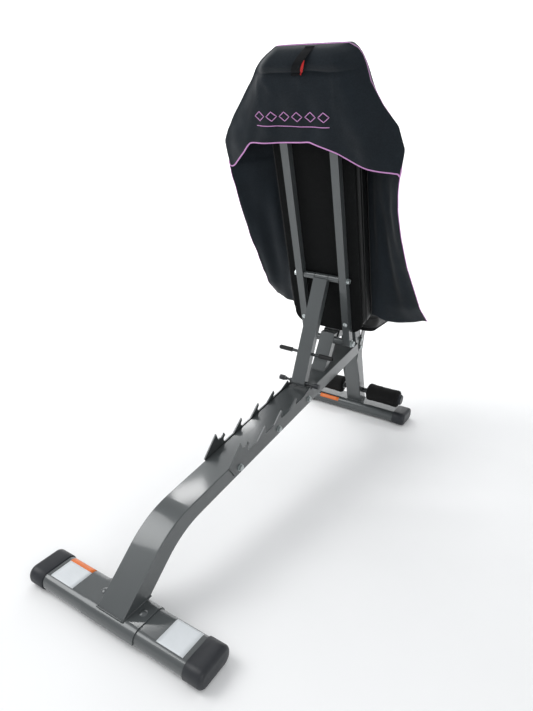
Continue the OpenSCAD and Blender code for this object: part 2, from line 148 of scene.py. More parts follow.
def mottled(name, base, rough, metallic=0.0, contrast=0.12, patch=14, fine=900, grain=0.05, coat=0.0,
            coat_rough=0.1, specular=0.5):
    """Painted, plated or moulded finish: slow colour drift, fine grain, roughness that varies."""
    m, nt, p, co = new_material(name)
    slow = noise_tex(nt, co, patch, 5)
    quick = noise_tex(nt, co, fine, 2)
    p.inputs["Metallic"].default_value = metallic
    p.inputs["Coat Weight"].default_value = coat
    p.inputs["Coat Roughness"].default_value = coat_rough
    p.inputs["Specular IOR Level"].default_value = specular
    nt.links.new(drift(nt, slow, base, 1 - contrast, 1 + contrast), p.inputs["Base Color"])
    nt.links.new(spread(nt, slow, rough * 0.85, rough * 1.15), p.inputs["Roughness"])
    bump(nt, p, [(quick, grain, 0.0004), (noise_tex(nt, co, 120, 2), grain * 0.6, 0.0006)])
    return m


def cloth_material(name, base, weave, sheen, rough, depth, twill=True):
    """Woven cloth: two sets of crossing threads, slow colour drift and fine lint."""
    m, nt, p, co = new_material(name)
    waves = []
    for turn in ((0, 0, 0.6), (0, 0, -0.9)) if twill else ((0, 0, 0), (0, 1.5708, 0)):
        mp = nt.nodes.new("ShaderNodeMapping")
        mp.inputs["Rotation"].default_value = turn
        nt.links.new(co, mp.inputs[0])
        w = nt.nodes.new("ShaderNodeTexWave")
        w.inputs["Scale"].default_value = weave / 6.3
        w.inputs["Distortion"].default_value = 0.6
        w.inputs["Detail"].default_value = 1
        w.bands_direction = "DIAGONAL" if twill else "X"
        nt.links.new(mp.outputs[0], w.inputs["Vector"])
        waves.append(w.outputs["Fac"])
    mul = nt.nodes.new("ShaderNodeMath")
    mul.operation = "MULTIPLY"
    nt.links.new(waves[0], mul.inputs[0])
    nt.links.new(waves[1], mul.inputs[1])
    slow = noise_tex(nt, co, 9, 5)
    lint = noise_tex(nt, co, 260, 3)
    mix = nt.nodes.new("ShaderNodeMix")
    mix.data_type = "RGBA"
    mix.inputs["Factor"].default_value = 0.35
    nt.links.new(drift(nt, slow, base, 0.8, 1.25), mix.inputs["A"])
    nt.links.new(drift(nt, lint, base, 0.7, 1.6, 0.35, 0.75), mix.inputs["B"])
    nt.links.new(mix.outputs["Result"], p.inputs["Base Color"])
    p.inputs["Sheen Weight"].default_value = sheen
    p.inputs["Sheen Roughness"].default_value = 0.45
    p.inputs["Specular IOR Level"].default_value = 0.12
    nt.links.new(spread(nt, slow, rough * 0.92, min(1, rough * 1.08)), p.inputs["Roughness"])
    bump(nt, p, [(mul.outputs[0], depth, 0.0003), (noise_tex(nt, co, 45, 4), 0.35, 0.002)])
    return m


def vinyl_material(name, base, rough=0.42):
    """Vinyl with an embossed leather grain."""
    m, nt, p, co = new_material(name)
    v = nt.nodes.new("ShaderNodeTexVoronoi")
    v.feature = "DISTANCE_TO_EDGE"
    v.inputs["Scale"].default_value = 420
    nt.links.new(co, v.inputs["Vector"])
    slow = noise_tex(nt, co, 11, 4)
    nt.links.new(drift(nt, slow, base, 0.8, 1.3), p.inputs["Base Color"])
    p.inputs["Specular IOR Level"].default_value = 0.3
    nt.links.new(spread(nt, slow, rough * 0.85, rough * 1.2), p.inputs["Roughness"])
    bump(nt, p, [(v.outputs["Distance"], 0.3, 0.0004), (noise_tex(nt, co, 60, 3), 0.2, 0.001)])
    return m


def brushed_material(name, base, rough, stretch):
    """Plated steel with fine lines along its stretched axis."""
    m, nt, p, co = new_material(name)
    lines = noise_tex(nt, co, 60, 4, 0.6, stretch)
    p.inputs["Metallic"].default_value = 0.95
    slow = noise_tex(nt, co, 30, 3)
    nt.links.new(drift(nt, slow, base, 0.8, 1.1), p.inputs["Base Color"])
    nt.links.new(spread(nt, lines, rough * 0.7, rough * 1.4), p.inputs["Roughness"])
    bump(nt, p, [(lines, 0.12, 0.0003)])
    return m


PAINT = (0.067, 0.0745, 0.0765)
DARK_PAINT = tint(PAINT, 0.8)
M = {
    "paint": mottled("gunmetal_enamel", PAINT, 0.32, 0.25, 0.06, 6, 260, 0.012, coat=0.7, coat_rough=0.09),
    "plate": mottled("rack_enamel", DARK_PAINT, 0.32, 0.4, 0.1, 10, 260, 0.02, coat=0.6),
    "cap": mottled("moulded_charcoal", (0.021, 0.023, 0.027), 0.42, 0, 0.12, 25, 1100, 0.06, specular=0.35),
    "zinc": brushed_material("zinc_plate", (0.50, 0.54, 0.54), 0.3, (1, 8, 8)),
    "dark_steel": mottled("dark_steel", (0.045, 0.048, 0.05), 0.32, 0.6, 0.15, 30, 400, 0.03),
    "board": cloth_material("backing_cloth", (0.0062, 0.0066, 0.0068), 1400, 0.0, 0.95, 0.3, False),
    "vinyl": vinyl_material("grained_vinyl", (0.0065, 0.0068, 0.007)),
    "cover": cloth_material("cover_twill", (0.0100, 0.0138, 0.0178), 1000, 0.16, 0.85, 0.45),
    "piping": cloth_material("piping_cord", (0.56, 0.27, 0.55), 1500, 0.1, 0.7, 0.5),
    "red": cloth_material("loop_lining", (0.50, 0.02, 0.02), 1500, 0.1, 0.6, 0.4, False),
    "web": cloth_material("loop_webbing", (0.0035, 0.004, 0.005), 1300, 0.05, 0.7, 0.5, False),
    "foam": mottled("closed_cell_foam", (0.0055, 0.0055, 0.0055), 0.8, 0, 0.3, 40, 1500, 0.3, specular=0.2),
    "grip": mottled("grip_rubber", (0.013, 0.0135, 0.014), 0.55, 0, 0.2, 50, 1200, 0.15, specular=0.35),
    "label": mottled("label_white", (0.66, 0.69, 0.71), 0.35, 0, 0.03, 30, 900, 0.01),
    "orange": mottled("label_orange", (0.72, 0.16, 0.02), 0.35, 0, 0.06, 30, 900, 0.01),
    "weld": mottled("weld_enamel", DARK_PAINT, 0.35, 0.4, 0.15, 60, 500, 0.2, coat=0.4),
    "paper": mottled("paper_white", (0.93, 0.93, 0.93), 0.85, 0, 0.01, 2, 40, 0.01, specular=0.1),
}
NODE_MATERIAL = {
    "frame_paint": "paint", "cap_plastic": "cap", "zinc": "zinc", "board": "board", "vinyl": "vinyl",
    "cover_cloth": "cover", "loop_webbing": "web", "foam": "foam", "grip_rubber": "grip",
}
SLOT_OF = {s["node"]: s["material_slot"] for s in frame["record"]["subparts"]}
for node_name, node in NODES.items():
    node.data.materials.clear()
    key = NODE_MATERIAL[SLOT_OF[node_name]]
    if node_name.startswith("rack_plate"):
        key = "plate"
    if node_name in ("crossbar", "handle_rod", "roller_rod"):
        key = "dark_steel"
    node.data.materials.append(M[key])


# ---------------------------------------------------------------- mesh helpers
def add_mesh(name, points, faces, material, smooth=True, sharp=None):
    me = bpy.data.meshes.new(name)
    me.from_pydata([tuple(p) for p in points], [], faces)
    me.update()
    o = bpy.data.objects.new(name, me)
    bpy.context.scene.collection.objects.link(o)
    me.materials.append(material)
    if smooth:
        me.shade_smooth()
        if sharp:
            me.set_sharp_from_angle(angle=math.radians(sharp))
    return o


def bands(rings, count, wrap=False):
    """Faces between rings of count points each, whose points are numbered ring after ring."""
    faces = []
    for i in range(rings if wrap else rings - 1):
        j = (i + 1) % rings
        for k in range(count):
            l = (k + 1) % count
            faces.append((i * count + k, i * count + l, j * count + l, j * count + k))
    return faces


def rim(cols, rows):
    """The border of a grid of cols by rows squares, as point numbers in order round it."""
    w = cols + 1
    return (list(range(w)) + [j * w + cols for j in range(1, rows + 1)]
            + [rows * w + i for i in range(cols - 1, -1, -1)] + [j * w for j in range(rows - 1, 0, -1)])


def rounded_outline(width, height, corner, n):
    """Points round a rectangle with round corners, centred on its own middle, n steps to a corner."""
    pts = []
    for sx, sy, start in ((1, 1, 0), (-1, 1, 90), (-1, -1, 180), (1, -1, 270)):
        for k in range(n + 1):
            a = math.radians(start + 90 * k / n)
            pts.append((sx * (width / 2 - corner) + corner * math.cos(a),
                        sy * (height / 2 - corner) + corner * math.sin(a)))
    return pts


def face_outward(o):
    bm = bmesh.new()
    bm.from_mesh(o.data)
    bmesh.ops.recalc_face_normals(bm, faces=bm.faces)
    bm.to_mesh(o.data)
    bm.free()
    return o


def apply_modifiers(o):
    deps = bpy.context.evaluated_depsgraph_get()
    me = bpy.data.meshes.new_from_object(o.evaluated_get(deps))
    o.modifiers.clear()
    old = o.data
    o.data = me
    bpy.data.meshes.remove(old)
    return o


def place(o, body, slot, *replaced):
    """Puts a piece on its body and hides the CAD nodes that it stands for; the slot argument is not used."""
    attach(o, body)
    if replaced:
        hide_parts(*replaced)
    return o


def softened(node, width, test, segments=3):
    """A copy of a hard CAD node with its edges rolled where test(a, b) holds, which stands for it."""
    me = NODES[node].data.copy()
    bm = bmesh.new()
    bm.from_mesh(me)
    bmesh.ops.remove_doubles(bm, verts=bm.verts, dist=2e-5)
    bmesh.ops.dissolve_limit(bm, angle_limit=math.radians(0.4), verts=bm.verts, edges=bm.edges)
    layer = bm.edges.layers.float.new("bevel_weight_edge")
    for e in bm.edges:
        if len(e.link_faces) == 2 and e.calc_face_angle(0) > math.radians(25):
            a, b = e.verts[0].co, e.verts[1].co
            if test(a, b):
                e[layer] = 1.0
    bm.to_mesh(me)
    bm.free()
    o = bpy.data.objects.new(node + "_rolled", me)
    bpy.context.scene.collection.objects.link(o)
    mod = o.modifiers.new("edges", "BEVEL")
    mod.limit_method = "WEIGHT"
    mod.width = width
    mod.segments = segments
    mod.use_clamp_overlap = True
    apply_modifiers(o)
    o.data.shade_smooth()
    o.data.set_sharp_from_angle(angle=math.radians(32))
    even = o.modifiers.new("normals", "WEIGHTED_NORMAL")
    even.keep_sharp = True
    even.weight = 100
    apply_modifiers(o)
    return place(o, NODES[node]["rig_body"], SLOT_OF[node], node)


def sweep(name, path, radius, material, sides=10, closed=False, wobble=0.0):
    """A round cord or bead along a path of points."""
    pts = [Vector(p) for p in path]
    n = len(pts)
    rings = []
    up = Vector((0.13, 0.31, 0.94)).normalized()
    for i, p in enumerate(pts):
        a = pts[(i - 1) % n] if closed or i else pts[0]
        b = pts[(i + 1) % n] if closed or i < n - 1 else pts[-1]
        t = (b - a).normalized()
        u = (up - t * up.dot(t)).normalized()
        v = t.cross(u)
        up = u
        r = radius * (1 + wobble * math.sin(i * 2.1) * random.uniform(0.6, 1.0))
        rings.append([p + (u * math.cos(k * math.tau / sides) + v * math.sin(k * math.tau / sides)) * r
                      for k in range(sides)])
    verts = [q for ring in rings for q in ring]
    faces = bands(n, sides, closed)
    if not closed:
        faces.append(tuple(range(sides))[::-1])
        faces.append(tuple((n - 1) * sides + k for k in range(sides)))
    return add_mesh(name, verts, faces, material)


def lathe(name, centre, profile, material, sides, sharp=60):
    """Profile points are (x along the axis, radius); the axis is +X through centre."""
    verts = []
    for k in range(sides):
        a = k * math.tau / sides
        for x, r in profile:
            verts.append(Vector(centre) + Vector((x, r * math.cos(a), r * math.sin(a))))
    return add_mesh(name, verts, bands(sides, len(profile), True), material, True, sharp)


def interp(x, table):
    """Straight-line value at x in a table of (x, value) pairs."""
    xs, ys = zip(*table)
    return float(np.interp(x, xs, ys))


def smoothstep(x):
    x = min(1, max(0, x))
    return x * x * (3 - 2 * x)


# ---------------------------------------------------------------- rolled edges on the tubes
def long_edge_at(*faces_x):
    """A test that picks a tube's long edges, which lie on the faces at these values of x."""
    def test(a, b):
        on_face = all(min(abs(p.x - x) for x in faces_x) < 2e-4 for p in (a, b))
        return on_face and (a - b).length > 0.004
    return test


for tube, roll in (("main_beam", 0.0045), ("front_leg", 0.0035), ("pivot_post", 0.003), ("seat_frame", 0.003),
                   ("strut_tube", 0.003), ("back_rail_left", 0.0025), ("back_rail_right", 0.0025)):
    lo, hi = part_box(tube)
    softened(tube, roll, long_edge_at(lo.x, hi.x))
for plate in ("rack_plate_left", "rack_plate_right", "seat_bracket_left", "seat_bracket_right"):
    softened(plate, 0.0006, lambda a, b: True, 2)


# ---------------------------------------------------------------- foot end caps
CAP_ROLL = 0.0105
# Half of the flat at the middle of a foot's rounded front and back faces
FOOT_FLAT = 0.002
CORNER_STEPS = 10


def foot_cap(node, side):
    """A moulded cap with a rolled outer edge and a slightly domed end; side is -1 left, 1 right."""
    lo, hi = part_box(node)
    depth, height = hi.y - lo.y, hi.z - lo.z
    cy, cz = (hi.y + lo.y) / 2, (hi.z + lo.z) / 2
    inner, outer = (lo.x, hi.x) if side > 0 else (hi.x, lo.x)
    # distance in from the outer end, how far the section has shrunk, how far it domes outward
    stations = [(abs(outer - inner), 0.0012, 0), (abs(outer - inner) - 0.0015, 0, 0), (CAP_ROLL, 0, 0)]
    for k in range(1, 9):
        a = math.radians(90 * k / 8)
        stations.append((CAP_ROLL * (1 - math.sin(a)), CAP_ROLL * (1 - math.cos(a)), 0))
    stations.append((0, 0.02, 0.0012))
    verts = []
    for back, shrink, dome in stations:
        corner = max(0.004, height / 2 - FOOT_FLAT - shrink)
        section = rounded_outline(depth - 2 * shrink, height - 2 * shrink, corner, CORNER_STEPS)
        verts += [Vector((outer - side * (back - dome), cy + y, cz + z)) for y, z in section]
    n = len(section)
    faces = bands(len(stations), n)
    faces.append(tuple((len(stations) - 1) * n + k for k in range(n)))
    # the mouth's lip turns in to the tube
    lip = rounded_outline(depth - 0.006, height - 0.006, height / 2 - 0.005, CORNER_STEPS)
    base = len(verts)
    verts += [Vector((inner, cy + y, cz + z)) for y, z in lip]
    for k in range(n):
        l = (k + 1) % n
        faces.append((base + k, base + l, l, k))
    if side < 0:
        faces = [f[::-1] for f in faces]
    place(add_mesh(node + "_moulded", verts, faces, M["cap"], True, 50), "base", "cap_plastic", node)


for end in ("rear", "front"):
    for name, s in (("left", -1), ("right", 1)):
        foot_cap(f"{end}_foot_cap_{name}", s)


# ---------------------------------------------------------------- labels that follow the foot tubes
def foot_surface(node, reach):
    """The point on a foot tube's top that is reach metres from its centre line, and its normal."""
    lo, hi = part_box(node)
    cy, half, top = (lo.y + hi.y) / 2, (hi.y - lo.y) / 2, hi.z
    corner = (hi.z - lo.z) / 2 - FOOT_FLAT
    flat = half - corner
    s = math.copysign(1, reach)
    d = abs(reach)
    if d <= flat:
        return Vector((0, cy + reach, top)), Vector((0, 0, 1))
    a = (d - flat) / corner
    return (Vector((0, cy + s * (flat + corner * math.sin(a)), top - corner + corner * math.cos(a))),
            Vector((0, s * math.sin(a), math.cos(a))))


def label(name, node, x0, x1, r0, r1, material):
    """A blank sticker from x0 to x1, which follows the tube's round edge from reach r0 to r1."""
    cols, rows = 6, 14
    verts, faces = [], []
    for layer in (0.0004, 0.0001):
        for i in range(rows + 1):
            p, nrm = foot_surface(node, r0 + (r1 - r0) * i / rows)
            for j in range(cols + 1):
                verts.append(p + nrm * layer + ACROSS * (x0 + (x1 - x0) * j / cols))
    w = cols + 1
    for i in range(rows):
        for j in range(cols):
            faces.append((i * w + j, i * w + j + 1, (i + 1) * w + j + 1, (i + 1) * w + j))
    ring = rim(cols, rows)
    n = len(ring)
    size = w * (rows + 1)
    for k in range(n):
        l = (k + 1) % n
        faces.append((ring[k], ring[k] + size, ring[l] + size, ring[l]))
    place(add_mesh(name, verts, faces, material), "base", "frame_paint")


label("rear_label_right", "rear_foot_tube", 0.131, 0.204, -0.033, 0.041, M["label"])
label("rear_label_left", "rear_foot_tube", -0.205, -0.129, -0.033, 0.027, M["label"])
label("rear_label_band", "rear_foot_tube", -0.205, -0.129, 0.0272, 0.045, M["orange"])
label("front_label_band", "front_foot_tube", -0.147, -0.062, -0.056, -0.040, M["orange"])


# ---------------------------------------------------------------- weld beads
WOBBLE = 0.16


def corner_weld(name, half, front, rear, radius, closed=True):
    """A bead round a tube's end: back along one side, across, forward, and across again if closed."""
    corners = [Vector((x, p.y, p.z)) for x, p in ((-half, front), (-half, rear), (half, rear), (half, front))]
    if closed:
        corners.append(corners[0])
    path = []
    for a, b in zip(corners, corners[1:]):
        n = max(2, int((b - a).length / 0.0035))
        path += [a.lerp(b, k / n) for k in range(n)]
    path.append(corners[-1])
    place(sweep(name, path, radius, M["weld"], 8, wobble=WOBBLE), "base", "frame_paint")


def lowest(node, height):
    """The rearmost and foremost corners of a node below a height."""
    points = [v.co for v in NODES[node].data.vertices if v.co.z < height]
    return min(points, key=lambda p: p.y), max(points, key=lambda p: p.y)


def at_height(p, z):
    return Vector((p.x, p.y, z))


beam_half, leg_half, post_half = (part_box(n)[1].x for n in ("main_beam", "front_leg", "pivot_post"))
saddle_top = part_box("rear_saddle")[1].z
leg_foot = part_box("front_leg")[0].z
rear, front = lowest("main_beam", saddle_top + 1e-4)
corner_weld("beam_base_weld", beam_half, at_height(front, saddle_top), at_height(rear, saddle_top), 0.0026)
rear, front = lowest("front_leg", leg_foot + 1e-4)
corner_weld("leg_base_weld", leg_half, at_height(front, leg_foot), at_height(rear, leg_foot), 0.0022)
beam_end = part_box("main_beam")[1].y - 0.03
beam_front = [v.co for v in NODES["main_beam"].data.vertices if v.co.y > beam_end]
corner_weld("leg_beam_weld", leg_half, max(beam_front, key=lambda p: p.y), max(beam_front, key=lambda p: p.z),
            0.0022, closed=False)
rear, front = lowest("pivot_post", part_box("pivot_post")[0].z + 0.012)
corner_weld("post_base_weld", post_half, front, rear, 0.002)


def ring_bead(name, centre, axis_x, radius, body):
    """A bead round a cross tube, at axis_x along it."""
    turns = [k * math.tau / 40 for k in range(40)]
    path = [Vector((axis_x, centre.y + radius * math.cos(a), centre.z + radius * math.sin(a))) for a in turns]
    place(sweep(name, path, 0.0016, M["weld"], 8, True, WOBBLE), body, "frame_paint")


strut_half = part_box("strut_tube")[1].x
for side, s in (("left", -1), ("right", 1)):
    ring_bead("pivot_sleeve_weld_" + side, PIVOT, s * post_half, 0.0122, "base")
    ring_bead("hinge_sleeve_weld_" + side, HINGE, s * strut_half, 0.0112, "strut")


# ---------------------------------------------------------------- ankle rollers and grips
FOAM_EDGE = 0.009
GRIP_BORE = 0.0052


def foam_profile(half, r, core):
    """A foam tube's outline with round ends, a slack waist and a faint ripple."""
    prof = [(-half + 0.001, core), (-half, core + 0.004), (-half, r - FOAM_EDGE)]
    for k in range(1, 7):
        a = math.radians(90 * k / 6)
        prof.append((-half + FOAM_EDGE * (1 - math.cos(a)), r - FOAM_EDGE + FOAM_EDGE * math.sin(a)))
    for k in range(1, 16):
        t = k / 16
        waist = 0.0012 * math.sin(math.pi * t)
        ripple = 0.0004 * math.sin(t * 23) - 0.0004
        prof.append((-half + FOAM_EDGE + 2 * (half - FOAM_EDGE) * t, r - waist + ripple))
    for k in range(7):
        a = math.radians(90 * k / 6)
        prof.append((half - FOAM_EDGE * (1 - math.sin(a)), r - FOAM_EDGE + FOAM_EDGE * math.cos(a)))
    return prof + [(half, core + 0.004), (half - 0.001, core)]


def grip_profile(half, r, s):
    """A rubber grip's outline: a flange at its inner end, then fine ribs."""
    prof = [(-half, GRIP_BORE)]
    for k in range(61):
        t = k / 60
        inner = t if s > 0 else 1 - t
        flange = 0.0015 * math.exp(-((inner - 0.03) / 0.035) ** 2)
        ribs = 0.00035 * math.sin(t * 24 * math.pi) if 0.12 < inner < 0.9 else 0
        end = min(t, 1 - t) * 2 * half
        prof.append((-half + 2 * half * t, r + flange + ribs - max(0, 0.003 - end) * 0.7))
    return prof + [(half, GRIP_BORE)]


for side, s in (("left", -1), ("right", 1)):
    lo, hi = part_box("foam_roller_" + side)
    core_lo, core_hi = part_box("roller_core_" + side)
    outline = foam_profile((hi.x - lo.x) / 2, (hi.z - lo.z) / 2, (core_hi.z - core_lo.z) / 2)
    foam = lathe("foam_tube_" + side, (lo + hi) / 2, outline, M["foam"], 56)
    place(foam, "roller_" + side, "foam", "foam_roller_" + side)

    lo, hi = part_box("handle_grip_" + side)
    outline = grip_profile((hi.x - lo.x) / 2, (hi.z - lo.z) / 2 - 0.0017, s)
    grip = lathe("ribbed_grip_" + side, (lo + hi) / 2, outline, M["grip"], 40)
    place(grip, "strut", "grip_rubber", "handle_grip_" + side)


# ---------------------------------------------------------------- pads
SEAM_DEPTH = 0.0015
SEAM_INSET = 0.0045


def pad_form(name, width, long, thick, corner, place_point, crown):
    """A stuffed pad: flat back on its board, crowned front, sides that pull in at the seams."""
    nu, nv = 44, int(44 * long / width)

    def outline(u, v, shrink):
        # square grid mapped to a rounded rectangle
        hx, hy = width / 2 - shrink, long / 2 - shrink
        x, y = u * hx, v * hy
        cx, cy = hx - corner, hy - corner
        dx, dy = abs(x) - cx, abs(y) - cy
        if dx > 0 and dy > 0:
            m, d = max(dx, dy), math.hypot(dx, dy)
            x = math.copysign(cx + dx * m / d, x)
            y = math.copysign(cy + dy * m / d, y)
        return x, y

    verts, faces = [], []

    def sheet(level, bulge, shrink):
        base = len(verts)
        for j in range(nv + 1):
            for i in range(nu + 1):
                u, v = -1 + 2 * i / nu, -1 + 2 * j / nv
                x, y = outline(u, v, shrink)
                w = (1 - abs(u) ** 6) * (1 - abs(v) ** 14)
                verts.append(place_point(x, level + bulge * w, y))
        return base

    front = sheet(thick - crown, crown, SEAM_INSET)
    back = sheet(0.0, 0.0, 0.004)
    w = nu + 1
    for j in range(nv):
        for i in range(nu):
            a = front + j * w + i
            faces.append((a, a + 1, a + 1 + w, a + w))
            a = back + j * w + i
            faces.append((a + w, a + 1 + w, a + 1, a))
    ring = rim(nu, nv)
    levels = 12
    n = len(ring)
    prev = [back + k for k in ring]
    for lv in range(1, levels):
        t = lv / levels
        base = len(verts)
        z = t * (thick - crown)
        # the side bellies between the lower and upper seams
        grow = math.sin(math.pi * t) ** 0.6 * SEAM_INSET
        groove = SEAM_DEPTH * sum(math.exp(-((t - seam_at) / 0.045) ** 2) for seam_at in (0.12, 0.88))
        for k in ring:
            j, i = divmod(k, w)
            x, y = outline(-1 + 2 * i / nu, -1 + 2 * j / nv, SEAM_INSET - grow + groove)
            verts.append(place_point(x, z, y))
        cur = [base + k for k in range(n)]
        for k in range(n):
            l = (k + 1) % n
            faces.append((prev[k], prev[l], cur[l], cur[k]))
        prev = cur
    cur = [front + k for k in ring]
    for k in range(n):
        l = (k + 1) % n
        faces.append((prev[k], prev[l], cur[l], cur[k]))
    return face_outward(add_mesh(name, verts, faces, M["vinyl"]))


SWELL_FRAMES = 16


def inflate(o, pressure, cap):
    """Lets a pad's skin swell a little in a short cloth run, and keeps each point within cap of its start."""
    mod = o.modifiers.new("swell", "CLOTH")
    s = mod.settings
    s.use_pressure = True
    s.uniform_pressure_force = pressure
    s.tension_stiffness = s.compression_stiffness = 25
    s.shear_stiffness = 12
    s.bending_stiffness = 2
    s.effector_weights.gravity = 0
    mod.point_cache.frame_start, mod.point_cache.frame_end = 1, SWELL_FRAMES
    scene = bpy.context.scene
    for f in range(1, SWELL_FRAMES + 1):
        scene.frame_set(f)
    deps = bpy.context.evaluated_depsgraph_get()
    ev = o.evaluated_get(deps).to_mesh()
    new = np.zeros(len(ev.vertices) * 3)
    ev.vertices.foreach_get("co", new)
    old = np.zeros(len(o.data.vertices) * 3)
    o.data.vertices.foreach_get("co", old)
    o.evaluated_get(deps).to_mesh_clear()
    o.modifiers.clear()
    d = (new - old).reshape(-1, 3)
    size = np.linalg.norm(d, axis=1, keepdims=True)
    d *= np.minimum(1, cap / np.maximum(size, 1e-9))
    o.data.vertices.foreach_set("co", (old.reshape(-1, 3) + d).ravel())
    o.data.update()
    scene.frame_set(1)


seat_lo, seat_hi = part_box("seat_pad")
SEAT_WIDE, SEAT_LONG, SEAT_THICK = (seat_hi[i] - seat_lo[i] for i in range(3))
SEAT_MIDDLE = (seat_lo + seat_hi) / 2
# The back pad's ends up the backrest, and its faces in front of the rails, in millimetres
PAD_LOW, PAD_HIGH, PAD_REAR, PAD_FRONT = 48, 880, 24, 82
PAD_LONG = (PAD_HIGH - PAD_LOW) / 1000


def on_seat_pad(x, depth, y):
    return Vector((x, SEAT_MIDDLE.y + y, seat_lo.z + depth))


def on_back_pad(x, depth, y):
    return on_back(x * 1000, PAD_REAR + depth * 1000, (PAD_HIGH + PAD_LOW) / 2 + y * 1000)


seat = pad_form("seat_cushion", SEAT_WIDE, SEAT_LONG, SEAT_THICK, 0.04, on_seat_pad, 0.010)
inflate(seat, 3.0, 0.004)
place(seat, "base", "vinyl", "seat_pad")
back = pad_form("back_cushion", SEAT_WIDE, PAD_LONG, (PAD_FRONT - PAD_REAR) / 1000, 0.058, on_back_pad, 0.008)
inflate(back, 3.0, 0.0025)
place(back, "back", "vinyl", "back_pad")


def welt(name, place_point, depth, long, corner, body):
    """A sewn welt round a pad's seam, at a depth from the pad's back."""
    outline = rounded_outline(SEAT_WIDE - 0.005, long - 0.005, corner, 8)
    path = [place_point(x, depth, y) for x, y in outline]
    dense = []
    for a, b in zip(path, path[1:] + path[:1]):
        n = max(1, int((b - a).length / 0.008))
        dense += [a.lerp(b, k / n) for k in range(n)]
    place(sweep(name, dense, 0.0016, M["vinyl"], 8, True), body, "vinyl")


welt("back_welt_rear", on_back_pad, 0.0045, PAD_LONG, 0.056, "back")
welt("back_welt_front", on_back_pad, 0.0435, PAD_LONG, 0.056, "back")
welt("seat_welt_low", on_seat_pad, 0.0045, SEAT_LONG, 0.038, "base")
welt("seat_welt_high", on_seat_pad, 0.0335, SEAT_LONG, 0.038, "base")


# ---------------------------------------------------------------- slip-over cover
# All in millimetres. Half widths of the cover's edges up the backrest, then how far forward they lie,
# then the height of the hood's arched hem across the back
EDGE_RIGHT = [(35, 300), (118, 289), (300, 265), (407, 252), (497, 246), (564, 249), (597, 254), (640, 265),
              (671, 270), (727, 253), (774, 212), (830, 176), (868, 167), (888, 159), (903, 147), (915, 124)]
EDGE_LEFT = [(35, 288), (144, 285), (304, 284), (460, 290), (590, 289), (640, 289), (674, 287), (708, 270),
             (777, 217), (840, 168), (866, 150), (884, 132), (898, 112), (915, 82)]
EDGE_OFF = [(35, 157), (118, 107), (144, 100), (304, 47), (420, 26), (500, 15), (590, 6), (700, 6), (915, 14)]
HEM = [(-290, 592), (-269, 600), (-207, 651), (-177, 683), (-92, 686), (13, 692), (69, 674), (141, 638),
       (193, 624), (240, 610), (259, 606)]
COVER_TOP = 915
REAR_OFF, FRONT_OFF, MID_OFF = -28, 88, 16
FOLD_AT = 863
# Height where the rows of the open cape end and those of the closed hood start
JOIN = 600
N_REAR, N_WING, N_FRONT = 34, 18, 14
ROWS_CAPE, ROWS_HOOD = 46, 60
TOP_ROW = ROWS_CAPE + ROWS_HOOD


def wrinkle(p, scale, seed):
    return noise.noise(Vector((p[0] * scale + seed, p[1] * scale * 0.6 + seed * 1.7, p[2] * scale)))


def folded(t):
    """t counted on its own side: 0 at the rear centre, 1 at the edge, 3 at the front centre."""
    return t if t <= 3 else 6 - t


def half_width(along, on_right):
    return interp(along, EDGE_RIGHT if on_right else EDGE_LEFT)


def front_corner(along, edge):
    return min(147 - 30 * smoothstep((along - 820) / 90), edge - 10)


def cover_point(t, along):
    """t runs 0..1 rear centre to side edge, 1..2 edge to the pad's front corner, 2..3 to the front centre,
    then on to 6 back round the left side. Millimetres in the backrest's own frame."""
    side = 1 if t <= 3 else -1
    h = folded(t)
    edge = half_width(along, side > 0)
    eo = interp(along, EDGE_OFF)
    if h <= 1:
        # rear panel: flat in the middle, rolled round to the edge
        k = math.sin(h * math.pi / 2)
        x = edge * (0.94 * h + 0.06 * k)
        roll = smoothstep((h - 0.6) / 0.4)
        off = REAR_OFF + (eo - REAR_OFF) * roll ** 1.3
    elif h <= 2:
        f = h - 1
        corner = front_corner(along, edge)
        x = edge + (corner - edge) * f
        off = eo + (FRONT_OFF - 3 - eo) * f
        sag = math.sin(math.pi * f)
        off += sag * (10 if along > 600 else 4)
    else:
        f = h - 2
        corner = front_corner(along, edge)
        x = corner * (1 - f)
        off = FRONT_OFF - 3 + 4 * math.sin(f * math.pi / 2)
    # the closed top rounds over the pad
    near = (along - (COVER_TOP - 50)) / 50
    if near > 0:
        w = (1 - min(1, near) ** 2.4) ** (1 / 2.4)
        off = MID_OFF + (off - MID_OFF) * w
    # the roll over the pad's end stands proud above a fold line that dips where the cloth is slack
    if h <= 1 and along > FOLD_AT - 70:
        line = FOLD_AT + 2.2 * math.sin(x * 0.021 * side + 1.2) + 1.2 * math.sin(x * 0.06 * side)
        d = (along - line + 2) / 4.5
        ends = smoothstep((1 - h) / 0.25)
        off += (6.0 * math.exp(-d * d) - 11 * smoothstep((along - line) / 22)) * ends
    return side * x, off, along


